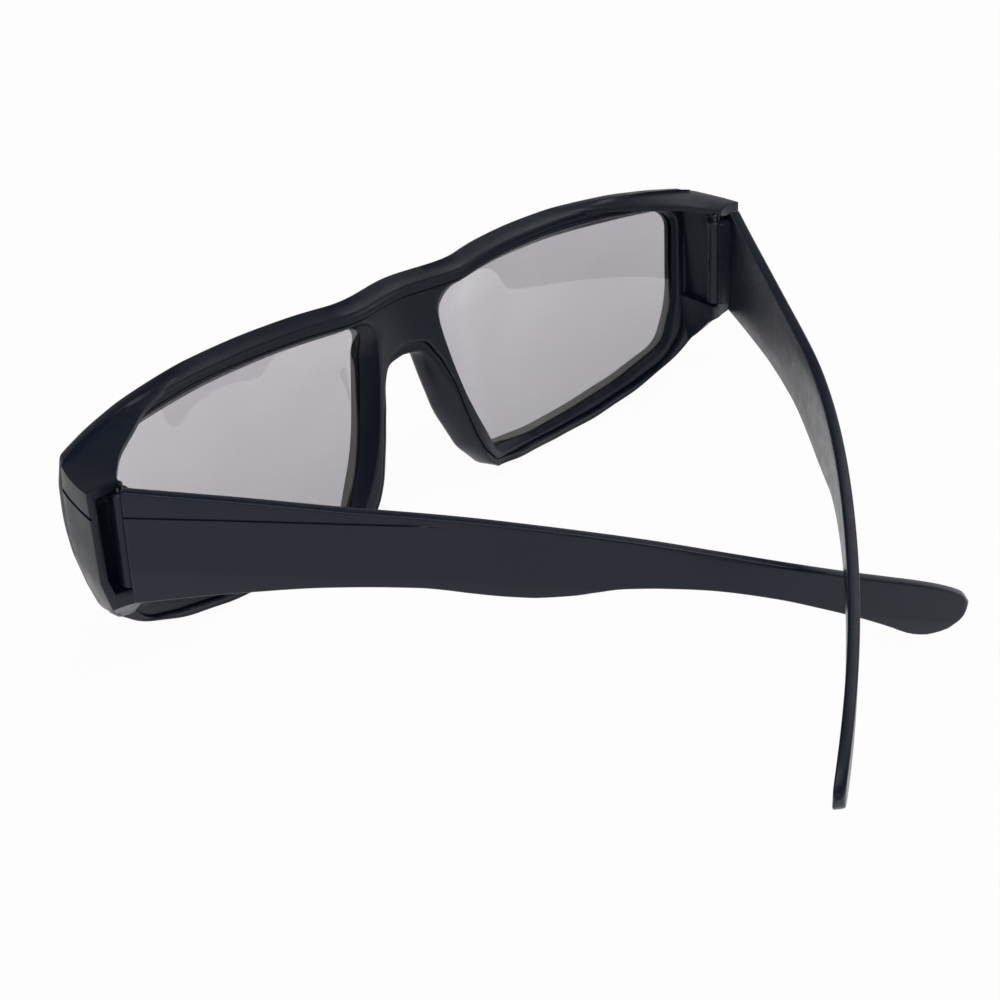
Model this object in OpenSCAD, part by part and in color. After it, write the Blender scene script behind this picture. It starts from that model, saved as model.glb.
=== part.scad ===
/* [Front] */
// Width over the two wing ends
front_width = 150; // [132:1:168]
// Height of the front from the brow to the lower rims
front_height = 44; // [38:0.5:52]
// Depth of the rims from front to back
rim_depth = 3.6; // [3.2:0.1:5]
// Lean of the front, lower rims towards the wearer
front_lean = 7.4; // [0:0.2:12]
// Plan radius of the front over each lens
lens_plan_radius = 78; // [60:1:140]
// Set back of the bridge behind the fullest point of the lenses
bridge_setback = 2.6; // [1.5:0.1:6]
// Drop of the brow line at the wing ends
brow_drop = 5.6; // [2:0.1:9]
// Slope of the brow's top face, down towards the wearer
brow_slope = 18; // [0:1:24]
// Depth that the rims gain towards the wings
side_depth = 3.2; // [1:0.1:4]

/* [Lenses] */
// Thickness of each laminated lens layer
lens_layer = 0.27; // [0.15:0.01:0.4]
// Width of the rim lip that covers the lens edge
lens_lip = 1.2; // [0.8:0.1:1.8]

/* [Hinges] */
// Distance of the hinge axis from the mid plane, as a part of half the width
hinge_inset = 6; // [5:0.1:8]
// Diameter of the hinge pin
pin_diameter = 1.5; // [1:0.1:2]
// Outside diameter of the hinge barrel on the arm
barrel_diameter = 3.4; // [2.8:0.1:4]
// Running clearance of the pin in the barrel, radial
pin_clearance = 0.05; // [0.02:0.01:0.1]

/* [Arms] */
// Length of each arm behind the hinge axis
arm_length = 136.4; // [122:0.2:146]
// Thickness of the arm blade
arm_thickness = 2; // [1.6:0.1:2.6]
// Height of the blade at the hinge
arm_root_height = 20.6; // [16:0.2:22]
// Height of the blade along its middle
arm_mid_height = 13.1; // [10:0.2:16]
// Height of the blade at the narrow neck
arm_neck_height = 7; // [5:0.2:9]
// Height of the paddle at the tip
arm_tip_height = 9.9; // [8:0.2:13]
// Drop of the arm's top edge from the hinge to the tip
arm_drop = 32; // [25:0.5:40]
// Inward bend radius of the rear part of the arm
arm_bend_radius = 209; // [170:1:300]

/* [Pose] */
// Fold of the left arm from straight back
left_fold = 46.2; // [30:0.2:60]
// Fold of the right arm from straight back
right_fold = 34.7; // [20:0.1:38]
// Lean of the left hinge axis, which lowers the arm that lies below
left_lean = 1.5; // [0.8:0.1:3]
// Lean of the right hinge axis, which raises the arm that lies on top
right_lean = 0.3; // [0.2:0.1:3]

/* [Hidden] */
$fn = 48;
over = 0.5;
kx = front_width / 150;
kz = front_height / 44;

// Wing and pocket sizes
wing_end_y = 13.75;
wing_start_y = 0.2;
wing_flare = 2.75;
wing_inner = 3;
wing_top = -5.3;
wing_bottom = -27.2 * kz;
wing_wall = 1.4;
wing_floor = 2.5;
wing_roof = 1.6;
lug_radius = 1.5;
half_width = front_width / 2;

// Hinge axis and barrel
hinge_x = half_width - hinge_inset;
hinge_y = 13.1;
pin_radius = pin_diameter / 2;
barrel_radius = barrel_diameter / 2;
barrel_gap = 0.35;
pocket_top = wing_top - wing_roof;
pocket_bottom = wing_bottom + wing_floor;
barrel_top = pocket_top - barrel_gap;
barrel_bottom = pocket_bottom + barrel_gap;
hinge_mid_z = (pocket_top + pocket_bottom) / 2;
pin_top = wing_top - 0.6;
pin_bottom = wing_bottom + 0.6;

// Arm blade placed from the hinge axis
blade_outer = 4.38;
blade_front = 1.1;
bend_start = 51 * arm_length / 136.4;
arm_top = -5.63;
arm_steps = 44;

// Small helpers
function clamp01(t) = min(1, max(0, t));
function smooth(t) = let (c = clamp01(t)) c * c * (3 - 2 * c);
function unit(v) = v / norm(v);
function flip(pts) = [for (i = [len(pts) - 1:-1:0]) [-pts[i][0], pts[i][1]]];

// Rounded corner b between a and c with radius r
function corner(a, b, c, r, n) =
    let (u = unit(a - b))
    let (w = unit(c - b))
    let (half = acos(max(-1, min(1, u * w))) / 2)
    let (reach = r / tan(half))
    let (mid = b + unit(u + w) * r / sin(half))
    let (p = b + u * reach - mid)
    let (q = b + w * reach - mid)
    let (turn = 180 - 2 * half)
    [for (i = [0:n]) mid + (p * sin(turn * (1 - i / n)) + q * sin(turn * i / n)) / sin(turn)];

// Closed outline from corner points that each carry a radius
function rounded(pts, n = 4) =
    let (m = len(pts))
    [for (i = [0:m - 1])
        let (b = [pts[i][0], pts[i][1]])
        let (a = [pts[(i + m - 1) % m][0], pts[(i + m - 1) % m][1]])
        let (c = [pts[(i + 1) % m][0], pts[(i + 1) % m][1]])
        each (pts[i][2] > 0 ? corner(a, b, c, pts[i][2], n) : [b])];

// Plan line of the front: each lens bows forward, the bridge lies back
lens_mid_x = 40 * kx;
bridge_x = 15 * kx;
lens_front = 6.3;
function bow(x) = lens_front - lens_plan_radius + sqrt(pow(lens_plan_radius, 2) - pow(x - lens_mid_x, 2));
bridge_y = lens_front - bridge_setback;
bow_edge = bow(bridge_x);
bow_slope = (lens_mid_x - bridge_x) / sqrt(pow(lens_plan_radius, 2) - pow(bridge_x - lens_mid_x, 2));
bow_c = (bow_slope * bridge_x - 2 * (bow_edge - bridge_y)) / pow(bridge_x, 3);
bow_b = (bow_edge - bridge_y - bow_c * pow(bridge_x, 3)) / pow(bridge_x, 2);
function front_y(x) =
    let (a = abs(x))
    a > bridge_x ? -bow(a) : -(bridge_y + bow_b * a * a + bow_c * pow(a, 3));
side_x = 72.2 * kx;
plan_steps = 48;
function plan_x(i) = -side_x + 2 * side_x * i / plan_steps;
function plan_band(near, far) = concat(
    [for (i = [0:plan_steps]) [plan_x(i), front_y(plan_x(i)) + near]],
    [for (i = [plan_steps:-1:0]) [plan_x(i), front_y(plan_x(i)) + far]]);

// Back of the rims: the depth grows towards the wings
function rim_back(x) = rim_depth + side_depth * smooth((abs(x) / kx - 48) / 18);
function deep_band(near, behind) = concat(
    [for (i = [0:plan_steps]) [plan_x(i), front_y(plan_x(i)) + near]],
    [for (i = [plan_steps:-1:0]) [plan_x(i), front_y(plan_x(i)) + rim_back(plan_x(i)) + behind]]);

// Depths from the front surface
front_wall = 1.2;
lens_gap = 0.06;
lens_start = front_wall + lens_gap;
lens_depth = 3 * lens_layer;
bezel_start = lens_start + lens_depth + lens_gap;
bezel_gap = 0.05;

// Front view outlines, right half, mirrored for the left
function pt(x, z, r) = [x * kx, z * kz, r];
brow_top = 0.1;
function brow(x) = -brow_drop * pow(x / 75, 3.3);
function brow_pt(x, r) = [x * kx, brow(x), r];
outline_half = [
    [20 * kx, brow_top, 60],
    brow_pt(31, 60),
    brow_pt(43, 60),
    brow_pt(57, 60),
    brow_pt(66, 40),
    brow_pt(72.8, 1.2),
    pt(72.4, -28, 8),
    pt(70, -33.4, 6),
    pt(64, -37.8, 20),
    pt(55, -41.8, 25),
    pt(44, -44, 30),
    pt(33, -44, 30),
    pt(24, -43.2, 25),
    pt(15.5, -41.6, 3)];
outline_right = rounded(concat([[0, brow_top, 0]], outline_half, [pt(0, -41.6, 0)]));
outline = concat(outline_right, flip(outline_right));

// Sloped top face of the brow, through the outline's upper edge along the front surface
function brow_line(x) = abs(x) < 20 * kx ? brow_top : min(brow_top, brow(abs(x) / kx) + 0.1);
brow_face = concat(
    [for (i = [0:plan_steps]) let (x = plan_x(i) * 1.01)
        [x, brow_line(x) * cos(brow_slope) + front_y(plan_x(i)) * sin(brow_slope)]],
    [[side_x * 1.01, -90], [-side_x * 1.01, -90]]);

// Lens opening at the lens, and where its walls meet the back of the rims
opening_pts = [
    [10.3 * kx, -4.6, 4.5],
    [26 * kx, -5, 60],
    [40 * kx, -5.7, 80],
    [54 * kx, -6.9, 80],
    [68.3 * kx, -8.2, 3],
    pt(66.4, -27, 30),
    pt(63.4, -35.2, 6),
    pt(53, -39.5, 30),
    pt(41, -41.5, 60),
    pt(30, -41.5, 60),
    pt(18.4, -40, 2.6),
    pt(14.6, -27, 60),
    pt(11.8, -13, 60)];
opening = rounded(opening_pts);
opening_back = rounded([
    [7.2 * kx, -4.4, 4.5],
    [26 * kx, -4.8, 60],
    [40 * kx, -5.5, 80],
    [54 * kx, -6.7, 80],
    [68.5 * kx, -8, 3],
    pt(66.6, -27, 30),
    pt(63.6, -35.5, 6),
    pt(53, -39.8, 30),
    pt(41, -41.8, 60),
    pt(30, -41.8, 60),
    pt(16.9, -40.5, 2.6),
    pt(11, -27, 60),
    pt(8.1, -13, 60)]);

// Nose opening at the front and, flared, at the back
nose_front_half = rounded([
    [0, -12.6, 0],
    [3.6 * kx, -12.6, 2.4],
    pt(4.8, -17, 8),
    pt(6.1, -27, 20),
    pt(10.7, -38.4, 5),
    pt(16.5, -42.4, 3),
    pt(19, -60, 0)]);
nose_back_half = rounded([
    [0, -11.4, 0],
    [4.2 * kx, -11.4, 2.8],
    pt(6.5, -17.5, 8),
    pt(9.5, -27, 20),
    pt(13.1, -36, 6),
    pt(17.7, -41.6, 3),
    pt(20, -60, 0)]);
nose_front = concat(nose_front_half, flip(nose_front_half));
nose_back = concat(nose_back_half, flip(nose_back_half));

// Seam line of the rear bezel, set in from the front's outline
bezel_drop = 3.1;
bezel_half = [
    [0, -bezel_drop, 0],
    [20 * kx, -bezel_drop, 40],
    [43 * kx, brow(43) - bezel_drop, 80],
    [57 * kx, brow(57) - bezel_drop, 60],
    [70.4 * kx, brow(70.4) - bezel_drop, 1.2],
    pt(70, -27.6, 8),
    pt(68.3, -32.8, 6),
    pt(63, -36.9, 20),
    pt(55, -40.7, 25),
    pt(43, -43, 30),
    pt(32, -43, 30),
    pt(24, -42.1, 10),
    pt(17, -40.7, 2),
    pt(0, -40.7, 0)];
bezel_right = rounded(bezel_half);
bezel_outline = concat(bezel_right, flip(bezel_right));
function closer(p) = [p[0] > 60 * kx ? p[0] - bezel_gap : p[0], p[1] > -20 * kz ? p[1] - bezel_gap : p[1] + bezel_gap, p[2]];
bezel_inner_right = rounded([for (p = bezel_half) closer(p)]);
bezel_inner = concat(bezel_inner_right, flip(bezel_inner_right));

// Lens and seat outlines grow outwards from the opening by a fixed lip
open_cx = 40 * kx;
open_cz = -24 * kz;
function grow(p, d) = [p[0] + d * sign(p[0] - open_cx) * min(1, abs(p[0] - open_cx) / (14 * kx)),
                       p[1] + d * sign(p[1] - open_cz) * min(1, abs(p[1] - open_cz) / (9 * kz)), p[2]];
function grown(d) = rounded([for (p = opening_pts) grow(p, d)]);

// Arm lines in the arm's own plane, along and above
arm_end = arm_length;
tip_radius = arm_tip_height / 2;
function arm_top_z(u) =
    let (t = clamp01(u / arm_end))
    arm_top - arm_drop * (0.06 * 3 * t * pow(1 - t, 2) + 0.275 * 3 * t * t * (1 - t) + pow(t, 3));
function arm_height(u) = arm_root_height
    + (arm_mid_height - arm_root_height) * smooth((u + 1.4) / (52.6 * arm_end / 136.4))
    + (arm_neck_height - arm_mid_height) * smooth((u - 57.6 * arm_end / 136.4) / (33.7 * arm_end / 136.4))
    + (arm_tip_height - arm_neck_height) * smooth((u - 107 * arm_end / 136.4) / (24 * arm_end / 136.4));
tip_u = arm_end - tip_radius * 0.9;
function arm_u(i) = blade_front + (tip_u - blade_front) * i / arm_steps;
tip_slope = atan2(arm_top_z(tip_u) - arm_top_z(tip_u - 4), 4);
tip_mid = [tip_u, arm_top_z(tip_u) - arm_height(tip_u) / 2];
tip_half = arm_height(tip_u) / 2;
arm_profile = concat(
    [for (i = [0:arm_steps]) [arm_u(i), arm_top_z(arm_u(i))]],
    [for (i = [1:9]) tip_mid + [tip_half * 0.9 * sin(i * 18), tip_half * cos(i * 18) + tip_half * 0.9
        * sin(i * 18) * tan(tip_slope)]],
    [for (i = [arm_steps:-1:0]) [arm_u(i), arm_top_z(arm_u(i)) - arm_height(arm_u(i))]]);
bend_angle = asin((arm_end + 6 - bend_start) / arm_bend_radius);

// Resting tilt: lower rims and the left arm's tip touch the table together
rim_low = [front_y(38 * kx), -44 * kz];
foot_cut = 0.3;
rim_y = rim_low[0] * cos(front_lean) - rim_low[1] * sin(front_lean);
rim_z = rim_low[0] * sin(front_lean) + rim_low[1] * cos(front_lean) + foot_cut;
low_u = tip_u + tip_half * 0.5;
low_z = arm_top_z(tip_u) - arm_height(tip_u) * 0.95 + tip_half * 0.5 * tan(tip_slope) - hinge_mid_z;
low_side = arm_bend_radius - sqrt(pow(arm_bend_radius, 2) - pow(low_u - bend_start, 2)) - blade_outer;
low_run = low_u * cos(left_lean) + low_z * sin(left_lean);
tip_y = hinge_y + low_run * cos(left_fold) - low_side * sin(left_fold);
tip_z = hinge_mid_z - low_u * sin(left_lean) + low_z * cos(left_lean);
stand_tilt = atan2(rim_z - tip_z, tip_y - rim_y);
stand_lift = -(rim_y * sin(stand_tilt) + rim_z * cos(stand_tilt));

// Centres the folded glasses over the origin, between the front and the right arm's tip
far_z = tip_mid[1] + tip_half * 0.9 * tan(tip_slope) - hinge_mid_z;
far_run = arm_end * cos(right_lean) - far_z * sin(right_lean);
far_side = arm_bend_radius - sqrt(pow(arm_bend_radius, 2) - pow(arm_end - bend_start, 2)) - blade_outer;
far_y = hinge_y + far_run * cos(right_fold) - far_side * sin(right_fold);
far_height = hinge_mid_z + arm_end * sin(right_lean) + far_z * cos(right_lean);
far_end = far_y * cos(stand_tilt) - far_height * sin(stand_tilt);
near_y = front_y(43 * kx) * cos(front_lean) - brow(43) * sin(front_lean);
near_z = front_y(43 * kx) * sin(front_lean) + brow(43) * cos(front_lean);
near_end = near_y * cos(stand_tilt) - near_z * sin(stand_tilt);
stand_back = -(far_end + near_end) / 2;

// Stands the glasses on their lower rims and the left arm's tip
module stand() {
    translate([0, stand_back, stand_lift]) rotate([stand_tilt, 0, 0]) children();
}

// Leans the front so that the lower rims come towards the wearer
module lean() {
    rotate([front_lean, 0, 0]) children();
}

// Slab through the front, from one depth behind the front surface to another
module band(near, far) {
    translate([0, 0, -70]) linear_extrude(height = 90) polygon(plan_band(near, far));
}

// Slab from one depth behind the front surface to the back of the rims
module deep_slab(near, behind) {
    translate([0, 0, -70]) linear_extrude(height = 90) polygon(deep_band(near, behind));
}

// Everything ahead of the front surface, past the wing ends too
module ahead() {
    past_x = half_width + 2;
    translate([0, 0, -70]) linear_extrude(height = 90) polygon(concat(
        [[-past_x, front_y(past_x)]],
        [for (i = [0:plan_steps]) [plan_x(i), front_y(plan_x(i))]],
        [[past_x, front_y(past_x)], [past_x, -60], [-past_x, -60]]));
}

// Front view outline drawn through the whole depth
module through(pts) {
    translate([0, 40, 0]) rotate([90, 0, 0]) linear_extrude(height = 80) polygon(pts);
}

// Space whose outline changes from a to b between two depths, straight before and after
module flared(a, b, near) {
    n = len(a);
    rings = concat(
        [for (p = a) [p[0], -40, p[1]]],
        [for (p = a) [p[0], front_y(p[0]) + near, p[1]]],
        [for (p = b) [p[0], front_y(p[0]) + rim_back(p[0]) + 0.25, p[1]]],
        [for (p = b) [p[0], 40, p[1]]]);
    walls = [for (k = [0:2]) for (i = [0:n - 1]) let (j = (i + 1) % n)
        each [[k * n + i, k * n + n + i, k * n + n + j], [k * n + i, k * n + n + j, k * n + j]]];
    polyhedron(points = rings, faces = concat([[for (i = [0:n - 1]) i]], walls,
        [[for (i = [n - 1:-1:0]) 3 * n + i]]), convexity = 6);
}

// Lens opening of one side with its sloping back walls
module lens_space(side) {
    if (side > 0) flared(opening, opening_back, bezel_start - 0.25);
    else flared(flip(opening), flip(opening_back), bezel_start - 0.25);
}

// Turns an arm's own frame into place: left arm by fold, leaned about its normal
module arm_place(fold, lean_angle) {
    translate([hinge_x, hinge_y, hinge_mid_z]) rotate([0, 0, 90 + fold]) rotate([0, lean_angle, 0])
        translate([0, 0, -hinge_mid_z]) children();
}

// Straight root and bent rear of the arm's blade, in plan
module blade_plan(inset) {
    translate([0, -blade_outer + inset, -70]) cube([bend_start + 0.01, arm_thickness - 2 * inset, 80]);
    translate([bend_start, -blade_outer + arm_bend_radius, -70]) rotate([0, 0, -90])
        rotate_extrude(angle = bend_angle, $fn = 240)
            translate([arm_bend_radius - arm_thickness + inset, 0]) square([arm_thickness - 2 * inset, 80]);
}

// Side view of the arm drawn through its thickness
module blade_side(pts) {
    translate([0, 50, 0]) rotate([90, 0, 0]) linear_extrude(height = 80) polygon(pts);
}

// One arm in its own frame: hinge axis on Z, running along X, inner face towards Y
module temple() {
    groove_half = 0.35;
    groove_deep = 0.3;
    difference() {
        union() {
            intersection() {
                blade_plan(0);
                blade_side(arm_profile);
            }
            translate([0, 0, barrel_bottom]) cylinder(r = barrel_radius, h = barrel_top - barrel_bottom);
            translate([blade_front, -blade_outer + arm_thickness / 2, barrel_bottom])
                cube([barrel_radius - 0.4, blade_outer - arm_thickness / 2, barrel_top - barrel_bottom]);
        }
        translate([0, 0, barrel_bottom - over])
            cylinder(r = pin_radius + pin_clearance, h = barrel_top - barrel_bottom + 2 * over);
        intersection() {
            translate([-over, -blade_outer - over, -60]) cube([bend_start + over, groove_deep + over, 60]);
            blade_side(concat(
                [for (i = [0:10]) let (u = blade_front + 2 + i * (bend_start - blade_front - 2) / 10)
                    [u, arm_top_z(u) - 3 + groove_half]],
                [for (i = [10:-1:0]) let (u = blade_front + 2 + i * (bend_start - blade_front - 2) / 10)
                    [u, arm_top_z(u) - 3 - groove_half]]));
        }
    }
}

// Pin on the hinge axis, held in the two wing lugs
module hinge_pin() {
    translate([0, 0, pin_bottom]) cylinder(r = pin_radius, h = pin_top - pin_bottom);
}

// Wing of one side: a channel open to the back and to the inside
module wing() {
    flare = atan2(wing_flare, wing_end_y - wing_start_y);
    bevel_z = wing_bottom + 5.6;
    difference() {
        union() {
            translate([0, 0, wing_bottom]) linear_extrude(height = wing_top - wing_bottom)
                polygon(rounded([[hinge_x - wing_inner, hinge_y - 5, 0], [hinge_x - wing_inner, wing_start_y, 0],
                    [half_width - wing_flare, wing_start_y, 3], [half_width, wing_end_y, 0.6],
                    [hinge_x + 2.2, wing_end_y, 0], [hinge_x - 0.6, wing_end_y + 0.7, 1],
                    [hinge_x - 1.9, hinge_y - 1, 1]]));
            translate([hinge_x, hinge_y, wing_bottom]) cylinder(r = lug_radius, h = wing_floor);
            translate([hinge_x, hinge_y, pocket_top]) cylinder(r = lug_radius, h = wing_roof);
        }
        translate([half_width, wing_end_y, pocket_bottom]) rotate([0, 0, -flare])
            translate([-wing_wall - 16, -20, 0]) cube([16, 30, pocket_top - pocket_bottom]);
        translate([half_width, wing_end_y, bevel_z]) rotate([0, 0, -flare]) rotate([0, 14, 0])
            translate([0, -30, -9]) cube([5, 40, 9]);
        translate([half_width, wing_end_y, -10.6]) rotate([0, 0, -flare])
            translate([-0.3, -30, 0]) cube([2, 40, 0.7]);
        lean() intersection() {
            deep_slab(-20, bezel_gap);
            through(bezel_outline);
        }
        lean() ahead();
    }
}

// Place for the pin, on the leaned hinge axis
module pin_space(fold, lean_angle, bottom) {
    arm_place(fold, lean_angle) translate([0, 0, bottom])
        cylinder(r = pin_radius, h = pin_top - bottom);
}

module front_frame() {
    color([0.06, 0.065, 0.09]) stand() difference() {
        union() {
            lean() difference() {
                intersection() {
                    deep_slab(0, 0);
                    through(outline);
                    rotate([-brow_slope, 0, 0]) through(brow_face);
                }
                through(opening);
                through(flip(opening));
                through(nose_front);
                intersection() {
                    band(front_wall, bezel_start);
                    union() {
                        through(grown(lens_lip));
                        through(flip(grown(lens_lip)));
                    }
                }
                intersection() {
                    band(bezel_start - bezel_gap, rim_depth + side_depth + 6);
                    through(bezel_outline);
                }
            }
            wing();
            mirror([1, 0, 0]) wing();
        }
        pin_space(left_fold, left_lean, wing_bottom - over - 2);
        mirror([1, 0, 0]) pin_space(right_fold, -right_lean, wing_bottom - over - 2);
        floor_cut();
    }
}

// Everything under the table plane, which leaves flat feet on the lower rims
module floor_cut() {
    rotate([-stand_tilt, 0, 0]) translate([-100, -100, -stand_lift - 20])
        cube([200, 300, 20]);
}

module rear_bezel() {
    color([0.05, 0.055, 0.075]) stand() lean() difference() {
        intersection() {
            deep_slab(bezel_start, 0);
            through(bezel_inner);
        }
        lens_space(1);
        lens_space(-1);
        flared(nose_front, nose_back, bezel_start - 0.25);
    }
}

// One layer of the laminated lens, counted from the front
module lens_layer_at(i) {
    stand() lean() intersection() {
        band(lens_start + i * lens_layer, lens_start + (i + 1) * lens_layer);
        through(grown(lens_lip - 0.1));
    }
}

module right_lens_retarder() {
    color([0.62, 0.63, 0.66, 0.5]) mirror([1, 0, 0]) lens_layer_at(0);
}

module right_lens_polariser() {
    color([0.4, 0.41, 0.45, 0.6]) mirror([1, 0, 0]) lens_layer_at(1);
}

module right_lens_cover() {
    color([0.7, 0.7, 0.73, 0.4]) mirror([1, 0, 0]) lens_layer_at(2);
}

module left_lens_retarder() {
    color([0.62, 0.63, 0.66, 0.5]) lens_layer_at(0);
}

module left_lens_polariser() {
    color([0.4, 0.41, 0.45, 0.6]) lens_layer_at(1);
}

module left_lens_cover() {
    color([0.7, 0.7, 0.73, 0.4]) lens_layer_at(2);
}

module left_temple() {
    color([0.07, 0.075, 0.1]) stand() arm_place(left_fold, left_lean) temple();
}

module right_temple() {
    color([0.07, 0.075, 0.1]) stand() mirror([1, 0, 0]) arm_place(right_fold, -right_lean) temple();
}

module left_hinge_pin() {
    color([0.6, 0.6, 0.62]) stand() arm_place(left_fold, left_lean) hinge_pin();
}

module right_hinge_pin() {
    color([0.6, 0.6, 0.62]) stand() mirror([1, 0, 0]) arm_place(right_fold, -right_lean) hinge_pin();
}

front_frame();
rear_bezel();
left_lens_retarder();
left_lens_polariser();
left_lens_cover();
right_lens_retarder();
right_lens_polariser();
right_lens_cover();
left_temple();
right_temple();
left_hinge_pin();
right_hinge_pin();
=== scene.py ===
import math

import bmesh
import bpy
from mathutils import Matrix, Vector


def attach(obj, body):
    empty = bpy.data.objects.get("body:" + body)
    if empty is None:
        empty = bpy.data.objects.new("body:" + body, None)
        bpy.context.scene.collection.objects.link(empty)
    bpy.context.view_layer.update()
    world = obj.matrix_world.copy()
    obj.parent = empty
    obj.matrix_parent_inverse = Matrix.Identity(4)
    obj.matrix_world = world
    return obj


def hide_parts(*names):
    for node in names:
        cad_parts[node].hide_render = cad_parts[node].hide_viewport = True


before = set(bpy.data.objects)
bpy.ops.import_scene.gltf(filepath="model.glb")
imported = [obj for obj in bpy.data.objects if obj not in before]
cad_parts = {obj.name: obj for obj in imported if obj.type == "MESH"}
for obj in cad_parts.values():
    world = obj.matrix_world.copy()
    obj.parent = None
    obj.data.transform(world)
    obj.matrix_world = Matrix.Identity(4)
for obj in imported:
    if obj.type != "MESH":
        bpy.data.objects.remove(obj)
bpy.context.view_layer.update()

# Camera: the glasses are seen from behind the wearer's left ear, looking down on the
# half folded arms and the inside of the front, with a moderate telephoto lens.
photo_eye = Vector((0.21233, 0.194868, 0.212878))
photo_right = Vector((-0.72663, 0.68702, -0.00307))
photo_up = Vector((-0.37751, -0.39552, 0.83729))
photo_back = Vector((0.57402, 0.60956, 0.54675))
camera_data = bpy.data.cameras.new("photo_camera")
camera_data.sensor_width = 36.0
camera_data.lens = 75.6
camera_data.clip_start = 0.01
camera_data.clip_end = 20.0
photo_camera = bpy.data.objects.new("photo_camera", camera_data)
photo_turn = Matrix((photo_right, photo_up, photo_back)).transposed().to_4x4()
photo_camera.matrix_world = Matrix.Translation(photo_eye) @ photo_turn
bpy.context.scene.collection.objects.link(photo_camera)
bpy.context.scene.camera = photo_camera
bpy.context.scene.view_settings.view_transform = "Standard"


# Front frame: one injection moulding in satin navy-black plastic that carries everything
# else. Both rims, the bridge with its nose pads and the two hollow wings come from one tool,
# and a shallow recess behind each rim takes the laminated lens and the rear bezel.
MM = 0.001
stand_tilt = math.radians(3.17169)
front_lean = math.radians(7.4)
stand_place = Matrix.Translation((0.0, -56.8099, 44.1047)) @ Matrix.Rotation(stand_tilt, 4, "X")
lean_place = stand_place @ Matrix.Rotation(front_lean, 4, "X")
half_width = 75.0
face_radius = 78.0
face_centre_x, face_centre_y = 40.0, 71.7
bridge_half = 15.0
bridge_forward = 3.7
brow_drop, brow_power = 5.6, 3.3
brow_fall, brow_fall_change = 0.56, 0.35
fall_from, fall_to = 36.0, 68.5
wing_fall_rate = 0.0126
rim_depth = 3.6
lens_wall = 1.2
seam_floor = 2.08
brow_middle = 0.1
arch_middle = -14.4
seam_arch = -12.0


def plan_line(x):
    """How far the front surface lies behind the bridge plane at a distance from the middle."""
    reach = abs(x)
    if reach > bridge_half:
        return face_centre_y - math.sqrt(face_radius ** 2 - (reach - face_centre_x) ** 2)
    from_centre = math.sqrt(face_radius ** 2 - (face_centre_x - bridge_half) ** 2)
    edge = from_centre - face_centre_y
    slope = (face_centre_x - bridge_half) / from_centre
    cubic = (slope * bridge_half - 2.0 * (edge - bridge_forward)) / bridge_half ** 3
    square = (edge - bridge_forward - cubic * bridge_half ** 3) / bridge_half ** 2
    return -(bridge_forward + square * reach ** 2 + cubic * reach ** 3)


def ease(t):
    """Smooth step from nought to one."""
    t = min(1.0, max(0.0, t))
    return t * t * (3.0 - 2.0 * t)


def brow_line(x):
    """Height of the brow's front edge, level over the bridge and falling to the wings."""
    return -brow_drop * (abs(x) / half_width) ** brow_power


def brow_slope(x):
    """Fall of the brow's top face per millimetre back, steep over the bridge, slight on the wings."""
    reach = abs(x)
    change = brow_fall_change * ease((reach - fall_from) / (fall_to - fall_from))
    return brow_fall - change - wing_fall_rate * max(0.0, reach - fall_to)


def rounded_path(corners, closed=False):
    """Polyline through corner points (across, up, radius), each corner rounded by an arc."""
    path = []
    steps = 9
    count = len(corners)
    for i, (x, z, radius) in enumerate(corners):
        here = Vector((x, z))
        if not closed and i in (0, count - 1):
            path.append(here)
            continue
        before = Vector(corners[i - 1][:2]) - here
        after = Vector(corners[(i + 1) % count][:2]) - here
        half = before.angle(after) / 2.0
        reach = min(radius / math.tan(half), 0.49 * before.length, 0.49 * after.length)
        arc = reach * math.tan(half)
        middle = here + (before.normalized() + after.normalized()).normalized() * arc / math.sin(half)
        first = here + before.normalized() * reach - middle
        last = here + after.normalized() * reach - middle
        turn = math.pi - 2.0 * half
        for k in range(steps + 1):
            share = k / steps
            swing = (first * math.sin(turn * (1.0 - share)) + last * math.sin(turn * share)) / math.sin(turn)
            path.append(middle + swing)
    return path


def nearest(path, mark, first=0):
    """Number of the point of a path that lies nearest to a mark."""
    return min(range(first, len(path)), key=lambda i: (path[i] - Vector(mark)).length)


def cut_path(path, marks):
    """Splits a polyline at the points nearest to the marks, one stretch between each two marks."""
    at = [nearest(path, mark) for mark in marks]
    return [path[a:b + 1] for a, b in zip(at, at[1:])]


def lengths_along(path):
    """How far along each point of a path is, as a share, and the path's length."""
    run = [0.0]
    for a, b in zip(path, path[1:]):
        run.append(run[-1] + (b - a).length)
    total = run[-1] or 1.0
    return [r / total for r in run], run[-1]


def point_along(path, share):
    """Point at a share of a path's length."""
    runs = lengths_along(path)[0]
    i = 0
    while i < len(path) - 2 and share > runs[i + 1]:
        i += 1
    gap = runs[i + 1] - runs[i]
    part = 0.0 if gap < 1e-12 else (share - runs[i]) / gap
    return path[i].lerp(path[i + 1], min(1.0, max(0.0, part)))


spoke_gap, spoke_step = 0.4, 1.2


def spoke_shares(paths):
    """Shares along matching stretches where any of them has a corner, filled up to a longest step."""
    wanted = {0.0, 1.0}
    biggest = 0.0
    for path in paths:
        runs, total = lengths_along(path)
        biggest = max(biggest, total)
        wanted.update(runs)
    closest = min(spoke_gap / max(biggest, 0.2), 0.5)
    shares = [0.0]
    for share in sorted(wanted):
        if share - shares[-1] > closest and 1.0 - share > closest:
            shares.append(share)
    shares.append(1.0)
    filled = []
    for a, b in zip(shares, shares[1:]):
        parts = max(1, math.ceil((b - a) * biggest / spoke_step))
        filled += [a + (b - a) * k / parts for k in range(parts)]
    return filled


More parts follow.
